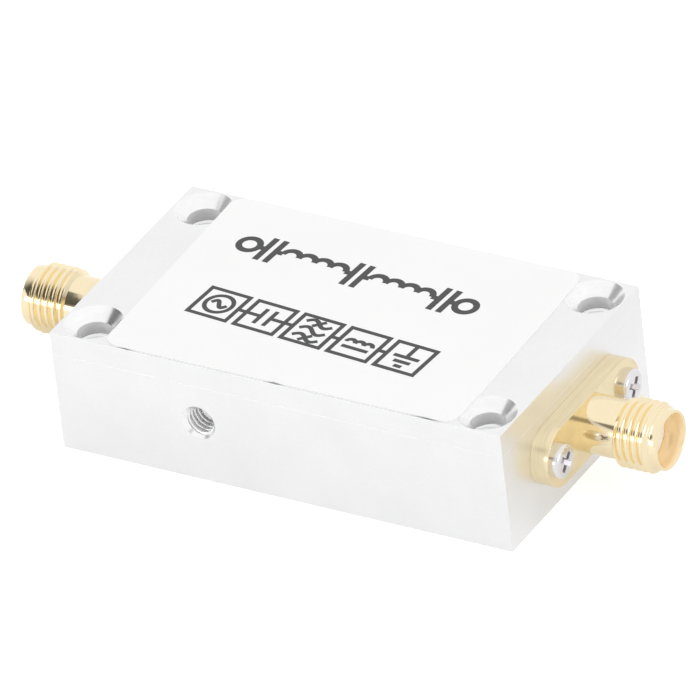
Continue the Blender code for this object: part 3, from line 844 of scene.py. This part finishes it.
def sign_row():
    """Strokes of the five boxed signs and the leads between them."""
    half = SIGN_SIZE / 2
    strokes = []
    for number, kind in enumerate(("source", "plates", "waves", "coil", "earth")):
        middle = half + number * SIGN_PITCH
        left, right = middle - half, middle + half
        strokes.append(([(left, -half), (right, -half), (right, half), (left, half)], True))
        if number:
            strokes.append(bar((left - SIGN_PITCH + SIGN_SIZE, 0), (left, 0)))
        strokes += boxed_sign(kind, middle)
    return strokes


ink_shape = bmesh.new()
rows = zip(ROW_LINES, (ladder_row(), sign_row()), (LADDER_STROKE, SIGN_STROKE))
for (start, end), strokes, width in rows:
    start, end = Vector(start), Vector(end)
    along = (end - start).normalized()
    across = Vector((-along.y, along.x))
    last = max(point[0] for stroke, _ in strokes for point in stroke)
    stretch = (end - start).length / last
    for number, (stroke, closed) in enumerate(strokes):
        spots = [(start + along * (x * stretch) + across * y) * MM for x, y in stroke]
        if closed and (spots[0] - spots[-1]).length < SAME_SPOT:
            spots.pop()
        top = sticker_top + INK_HEIGHT + number * INK_STEP
        ribbon(ink_shape, spots, width * MM, sticker_top - INK_HEIGHT, top, closed)
print_piece = shape_object("sticker_print", ink_shape)
ink = surface(
    "dark_grey_ink",
    colour=(0.055, 0.055, 0.058),
    metallic=0.0,
    bump=0.002 * MM,
    look={
        "Grain Scale": 9000.0,
        "Cloud Scale": 900.0,
        "Grain Contrast": 0.5,
        "Cloud Contrast": 0.6,
        "Roughness": 0.5,
        "Roughness Spread": 0.2,
    },
)
finish_piece(print_piece, (ink,), "label")

# Connector shells
# Each is turned from brass bar, with a flange milled at its foot and a quarter-inch thread of 36
# turns to the inch, then polished and gold plated.
THREAD_RADIUS = 3.175 * MM
THREAD_ROOT = 2.795 * MM
THREAD_PITCH = 0.7056 * MM
THREAD_RUN_OUT = 1.3
NECK_RADIUS = 2.65 * MM
NECK_TOP = 5.04 * MM
NOSE_RADIUS = 2.72 * MM
NOSE_FOOT = 8.65 * MM
MOUTH_RADIUS = 2.3 * MM
MOUTH_DEPTH = 1.9 * MM
LIP = 0.1 * MM
LIP_ROUND = 0.3 * LIP
LEAD_IN = 0.13 * MM
LEAD_DEPTH = 0.7 * MM
FLANGE_LENGTH = 16.5 * MM
FLANGE_HEIGHT = 5.7 * MM
FLANGE_THICKNESS = 1.65 * MM
SHELL_STEPS = 128

# Half a pitch of the polished thread from its rounded crest to its flat root, as shares
POLISHED_CREST = ((0, 1), (0.008, 0.9975), (0.02, 0.983), (0.06, 0.905), (0.10, 0.815), (0.14, 0.70))
POLISHED_ROOT = ((0.22, 0.38), (0.30, 0.08), (0.325, 0.03), (0.35, 0.008), (0.37, 0))
POLISHED_FORM = POLISHED_CREST + POLISHED_ROOT

mouth_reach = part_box("right_connector_shell")[1].x - half_length
plug_front = mouth_reach - MOUTH_DEPTH
flange_face = CLEAR + FLANGE_THICKNESS


def shell_mesh():
    """One shell with its foot on local Z = 0 and its mouth up."""
    barrel = bmesh.new()
    middle = flange_face / 2
    nose = [
        (0, mouth_reach),
        (NOSE_RADIUS - LIP, mouth_reach),
        (NOSE_RADIUS - LIP_ROUND, mouth_reach - LIP_ROUND),
        (NOSE_RADIUS, mouth_reach - LIP),
        (NOSE_RADIUS, NOSE_FOOT),
    ]
    turn_profile(barrel, nose, SHELL_STEPS)
    helical_thread(
        barrel,
        POLISHED_FORM,
        (NECK_RADIUS, NECK_TOP),
        (NOSE_RADIUS, NOSE_FOOT),
        THREAD_ROOT,
        THREAD_RADIUS,
        THREAD_PITCH,
        slope=THREAD_RUN_OUT,
        steps=SHELL_STEPS,
    )
    turn_profile(barrel, [(NECK_RADIUS, NECK_TOP), (NECK_RADIUS, middle), (0, middle)], SHELL_STEPS)
    tidy_shape(barrel)
    shell = shape_object("shell", barrel)

    outline = rounded_outline(FLANGE_LENGTH, FLANGE_HEIGHT, FLANGE_HEIGHT / 2, steps=24)
    flange = shape_object("flange", prism(outline, 0, flange_face))
    soften(flange, EDGE_ROUND)
    settle(flange)
    combine(shell, [flange], "UNION")

    bore = bmesh.new()
    wide = MOUTH_RADIUS + LEAD_IN
    mouth_profile = [
        (0, mouth_reach + LIP),
        (wide + LIP + LIP / 2, mouth_reach + LIP),
        (wide, mouth_reach - LIP / 2),
        (MOUTH_RADIUS, mouth_reach - LEAD_DEPTH),
        (MOUTH_RADIUS, plug_front),
        (BORE_RADIUS, plug_front),
        (BORE_RADIUS, -CLEAR),
        (0, -CLEAR),
    ]
    turn_profile(bore, mouth_profile, SHELL_STEPS)
    tidy_shape(bore)
    holes = [shape_object("bore", bore)]
    for end in (-1, 1):
        hole = plain_hole(SCREW_BORE_RADIUS, -CLEAR, flange_face + CLEAR, steps=48)
        shift = Matrix.Translation((end * SCREW_SPACING / 2, 0, 0))
        holes.append(shape_object("screw_hole", place_shape(hole, shift)))
    combine(shell, holes)
    mesh = shell.data
    bpy.data.objects.remove(shell)
    return mesh


def end_matrix(side):
    """From a connector's own frame, local Z outwards and local Y up, to the module's."""
    turned = Euler((pi / 2, 0, side * pi / 2)).to_matrix().to_4x4()
    return Matrix.Translation((side * half_length, 0, axis_height)) @ turned


def place_copy(name, mesh, matrix):
    """An object at the origin with its own moved copy of the mesh."""
    item = bpy.data.objects.new(name, mesh.copy())
    item.data.transform(matrix)
    bpy.context.scene.collection.objects.link(item)
    return item


gold = surface(
    "polished_gold_plating",
    colour=(0.955, 0.823, 0.56),
    metallic=1.0,
    bump=0.0012 * MM,
    look={
        "Grain Scale": 900.0,
        "Cloud Scale": 300.0,
        "Grain Contrast": 0.04,
        "Cloud Contrast": 0.06,
        "Roughness": 0.09,
        "Roughness Spread": 0.06,
    },
    stretch=(6, 1, 1),
)
milled_gold = surface(
    "milled_gold_plating",
    colour=(0.88, 0.755, 0.50),
    metallic=1.0,
    bump=0.004 * MM,
    look={
        "Grain Scale": 800.0,
        "Cloud Scale": 250.0,
        "Grain Contrast": 0.26,
        "Cloud Contrast": 0.16,
        "Roughness": 0.17,
        "Roughness Spread": 0.10,
    },
    stretch=(8, 0.5, 0.5),
)
# The mouth's bore: a duller gold finish, made pale and mostly not metal so that the mouth reads lighter,
# which is painted light in place of light bouncing inside the mouth.
bore_gold_painted_light = surface(
    "bore_gold_plating_painted_light",
    colour=(1.0, 0.80, 0.50),
    metallic=0.3,
    bump=0.001 * MM,
    look={
        "Grain Scale": 900.0,
        "Cloud Scale": 300.0,
        "Grain Contrast": 0.05,
        "Cloud Contrast": 0.08,
        "Roughness": 0.20,
        "Roughness Spread": 0.10,
    },
    stretch=(6, 1, 1),
)
ends = {"left": -1, "right": 1}
shell = shell_mesh()
finishes = (gold, bore_gold_painted_light, milled_gold)
for word, side in ends.items():
    item = place_copy(f"{word}_coaxial_shell", shell, end_matrix(side))
    shade(item, angle=35)
    finish_piece(item, finishes, "gold_shell", f"{word}_connector_shell")
    for face in item.data.polygons:
        out = Vector((0, face.center.y, face.center.z - axis_height)).length
        if abs(face.center.x) < half_length + flange_face + EDGE_ROUND and out > NECK_RADIUS:
            face.material_index = finishes.index(milled_gold)
    # Faces inside the mouth take the bore gold with its painted light.
    mark_holes(item, [(Vector((0, 0, axis_height)), "X", MOUTH_RADIUS + LEAD_IN)])

# Insulators
# White fluoropolymer rod, drilled for the contact and pressed into the shell, its face turned flat
# a little inside the mouth.
PLUG_RADIUS = 2.14 * MM
CONTACT_RADIUS = 0.635 * MM

plug = bmesh.new()
drill = CONTACT_RADIUS + CLEAR
plug_profile = [
    (PLUG_RADIUS, plug_front),
    (PLUG_RADIUS, -WALL_AT_ENDS),
    (drill, -WALL_AT_ENDS),
    (drill, plug_front),
    (PLUG_RADIUS, plug_front),
]
turn_profile(plug, plug_profile)
tidy_shape(plug)
plug = shape_object("plug", plug)
polymer = surface(
    "white_fluoropolymer",
    colour=(0.97, 0.96, 0.935),
    metallic=0.0,
    bump=0.002 * MM,
    look={
        "Grain Scale": 3000.0,
        "Cloud Scale": 400.0,
        "Grain Contrast": 0.03,
        "Cloud Contrast": 0.05,
        "Roughness": 0.42,
        "Roughness Spread": 0.12,
    },
)
for word, side in ends.items():
    item = place_copy(f"{word}_insulator_plug", plug.data, end_matrix(side))
    shade(item)
    finish_piece(item, (polymer,), "insulator", f"{word}_connector_insulator")
bpy.data.objects.remove(plug)

# Centre contacts
# Turned from beryllium copper and gold plated: a socket sawn into four springs at the mouth, and a
# thin tail that is soldered to the board.
SOCKET_RADIUS = 0.47 * MM
SOCKET_DEPTH = 2.5 * MM
SAW_CUT = 0.15 * MM
SAW_DEPTH = 2.0 * MM
TAIL_RADIUS = 0.4 * MM
TAIL_LENGTH = 3.5 * MM
CONTACT_EDGE = 0.06 * MM

contact_front = plug_front - CLEAR
contact_back = -WALL_AT_ENDS - TAIL_LENGTH
pin = bmesh.new()
pin_profile = [
    (0, contact_front),
    (CONTACT_RADIUS - CONTACT_EDGE, contact_front),
    (CONTACT_RADIUS, contact_front - CONTACT_EDGE),
    (CONTACT_RADIUS, -WALL_AT_ENDS),
    (TAIL_RADIUS, -WALL_AT_ENDS),
    (TAIL_RADIUS, contact_back),
    (0, contact_back),
]
turn_profile(pin, pin_profile, steps=48)
tidy_shape(pin)
pin = shape_object("pin", pin)
socket = plain_hole(SOCKET_RADIUS, contact_front - SOCKET_DEPTH, plug_front, steps=48)
saws = [shape_object("socket", socket)]
for reach in ((CONTACT_RADIUS + CLEAR, SAW_CUT / 2), (SAW_CUT / 2, CONTACT_RADIUS + CLEAR)):
    low = (-reach[0], -reach[1], contact_front - SAW_DEPTH)
    high = (reach[0], reach[1], plug_front)
    saws.append(shape_object("saw", block(low, high)))
combine(pin, saws)
contact_gold = surface(
    "contact_gold_plating",
    colour=(0.95, 0.76, 0.42),
    metallic=1.0,
    bump=0.001 * MM,
    look={
        "Grain Scale": 1500.0,
        "Cloud Scale": 500.0,
        "Grain Contrast": 0.05,
        "Cloud Contrast": 0.06,
        "Roughness": 0.2,
        "Roughness Spread": 0.1,
    },
    stretch=(6, 1, 1),
)
for word, side in ends.items():
    item = place_copy(f"{word}_centre_contact", pin.data, end_matrix(side))
    shade(item)
    finish_piece(item, (contact_gold,), "gold_contact", f"{word}_connector_contact")
bpy.data.objects.remove(pin)

# Flange screws
# Small nickel-plated pan head screws, two for each flange, left at whatever turn they were tight.
# Faces inside the pressed cross recess take a darker, rougher nickel.
HEAD_RADIUS = 1.58 * MM
HEAD_HEIGHT = 0.6 * MM
HEAD_FLAT = 0.78
DOME_RISE = 0.55 * HEAD_HEIGHT
DOME_STEPS = 6
SHANK_RADIUS = 0.95 * MM
SHANK_GRIP = 4.0 * MM
SHANK_POINT = 0.4
RECESS_REACH = 1.05 * MM
RECESS_WIDTH = 0.55 * MM
RECESS_DEPTH = 0.5 * MM
RECESS_TAPER = 0.5
RECESS_NARROWING = 0.8
HEART_MOUTH = 0.42 * RECESS_REACH
HEART_FOOT = 0.2 * RECESS_REACH
HEART_DEPTH = 0.8 * RECESS_DEPTH
CROSS_TURNS = {"left": (20, 65), "right": (-43, -33)}


def screw_mesh(shank_length):
    """A pan head screw that sits on local Z = 0, with its cross recess."""
    top = CLEAR + HEAD_HEIGHT
    point = SHANK_POINT * SHANK_RADIUS
    dome = []
    for step in range(DOME_STEPS + 1):
        angle = step / DOME_STEPS * pi / 2
        radius = HEAD_RADIUS * (HEAD_FLAT + (1 - HEAD_FLAT) * sin(angle))
        dome.append((radius, top - DOME_RISE * (1 - cos(angle))))
    profile = [
        (0, top),
        *dome,
        (HEAD_RADIUS, 0),
        (SHANK_RADIUS, 0),
        (SHANK_RADIUS, point - shank_length),
        (SHANK_RADIUS - point, -shank_length),
        (0, -shank_length),
    ]
    body = bmesh.new()
    turn_profile(body, profile, steps=64)
    tidy_shape(body)
    screw = shape_object("screw", body)
    blades = []
    for reach_x, reach_y in ((RECESS_REACH, RECESS_WIDTH / 2), (RECESS_WIDTH / 2, RECESS_REACH)):
        blade = block((-reach_x, -reach_y, top - RECESS_DEPTH), (reach_x, reach_y, top + CLEAR))
        for vertex in blade.verts:
            if vertex.co.z < top:
                vertex.co.x *= RECESS_TAPER if reach_x > reach_y else RECESS_NARROWING
                vertex.co.y *= RECESS_TAPER if reach_y > reach_x else RECESS_NARROWING
        blades.append(shape_object("blade", blade))
    heart = bmesh.new()
    heart_profile = [
        (0, top + CLEAR),
        (HEART_MOUTH, top + CLEAR),
        (HEART_FOOT, top - HEART_DEPTH),
        (0, top - RECESS_DEPTH),
    ]
    turn_profile(heart, heart_profile, steps=24)
    tidy_shape(heart)
    blades.append(shape_object("heart", heart))
    combine(screw, blades)
    mesh = screw.data
    bpy.data.objects.remove(screw)
    return mesh


nickel = surface(
    "nickel_plating",
    colour=(0.80, 0.785, 0.80),
    metallic=1.0,
    bump=0.002 * MM,
    look={
        "Grain Scale": 2500.0,
        "Cloud Scale": 600.0,
        "Grain Contrast": 0.06,
        "Cloud Contrast": 0.10,
        "Roughness": 0.15,
        "Roughness Spread": 0.10,
    },
)
# Darker and rougher than the head's nickel; it goes on the faces inside the cross recess.
recess_nickel = surface(
    "recess_nickel",
    colour=(0.60, 0.58, 0.61),
    metallic=1.0,
    bump=0.002 * MM,
    look={
        "Grain Scale": 2500.0,
        "Cloud Scale": 600.0,
        "Grain Contrast": 0.06,
        "Cloud Contrast": 0.10,
        "Roughness": 0.36,
        "Roughness Spread": 0.08,
    },
)
screw = screw_mesh(FLANGE_THICKNESS + SHANK_GRIP)
recess_rim = CLEAR + HEAD_HEIGHT - EDGE_ROUND
finishes = (nickel, recess_nickel)
for word, side in ends.items():
    for corner, end, turn in zip(("front", "rear"), (-1, 1), CROSS_TURNS[word]):
        seat = Matrix.Translation((end * side * SCREW_SPACING / 2, 0, flange_face))
        spin = Matrix.Rotation(radians(turn), 4, "Z")
        place = end_matrix(side) @ seat @ spin
        home = place.inverted()
        item = place_copy(f"{word}_{corner}_pan_screw", screw, place)
        shade(item)
        finish_piece(item, finishes, "flange_screws", f"{word}_flange_screw_{corner}")
        for face in item.data.polygons:
            spot = home @ face.center
            if CLEAR < spot.z < recess_rim and spot.xy.length < RECESS_REACH:
                face.material_index = finishes.index(recess_nickel)

# Inside pieces
# The board, its screws, the coils and the chip capacitors lie under the closed lid and keep their
# solids, each with its own finish: zinc, enamelled copper wire, green laminate and fired ceramic.
COPPER_THICKNESS = 0.07 * MM
CAP_SHARE = 0.225
TIN = (0.80, 0.80, 0.79, 1.0)
CERAMIC = (0.42, 0.31, 0.20)
LAMINATE = (0.03, 0.20, 0.08)


def dress(names, material):
    """Gives the solids their material."""
    for name in names:
        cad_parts[name].material_slots[0].material = material


zinc = surface(
    "zinc_plating",
    colour=(0.66, 0.66, 0.68),
    metallic=1.0,
    bump=0.002 * MM,
    look={"Grain Scale": 2500.0, "Cloud Scale": 500.0, "Roughness": 0.32, "Roughness Spread": 0.12},
)
copper = surface(
    "enamelled_copper",
    colour=(0.72, 0.33, 0.13),
    metallic=1.0,
    bump=0.001 * MM,
    look={"Grain Scale": 1200.0, "Cloud Scale": 500.0, "Roughness": 0.24, "Roughness Spread": 0.1},
)
dress([f"board_screw_{number}" for number in range(1, 5)], zinc)
dress([f"coil_{number}" for number in range(1, 4)], copper)


def tinned(name, colour, coordinate, axis, low, high):
    """A plain finish that turns to bright tin where a coordinate is below one value or above another."""
    material = surface(
        name,
        colour=colour,
        metallic=0.0,
        bump=0.002 * MM,
        look={"Grain Scale": 3000.0, "Cloud Scale": 300.0, "Cloud Contrast": 0.2, "Roughness": 0.42},
    )
    tree = material.node_tree
    shader = tree.nodes["Principled BSDF"]
    place = place_along(tree, axis, coordinate)
    above = maths(tree, "GREATER_THAN", place, high)
    below = maths(tree, "LESS_THAN", place, low)
    mask = maths(tree, "MAXIMUM", above, below)
    plain = shader.inputs["Base Color"].links[0].from_socket
    # A Mix node takes its colours at inputs 6 and 7 and gives one at output 2
    both = add_node(tree, "ShaderNodeMix", {0: mask, 6: plain, 7: TIN}, data_type="RGBA")
    tree.links.new(both.outputs[2], shader.inputs["Base Color"])
    tree.links.new(mask, shader.inputs["Metallic"])
    return material


laminate_top = board_high.z - COPPER_THICKNESS / 2
solder_mask = tinned("green_laminate", LAMINATE, "Object", "Z", low=-1.0, high=laminate_top)
caps = CAP_SHARE, 1 - CAP_SHARE
chip_along = tinned("chip_ceramic_along", CERAMIC, "Generated", "X", *caps)
chip_across = tinned("chip_ceramic_across", CERAMIC, "Generated", "Y", *caps)
dress(["circuit_board"], solder_mask)
dress([f"coupling_capacitor_{number}" for number in range(1, 5)], chip_along)
dress([f"shunt_capacitor_{number}" for number in range(1, 4)], chip_across)
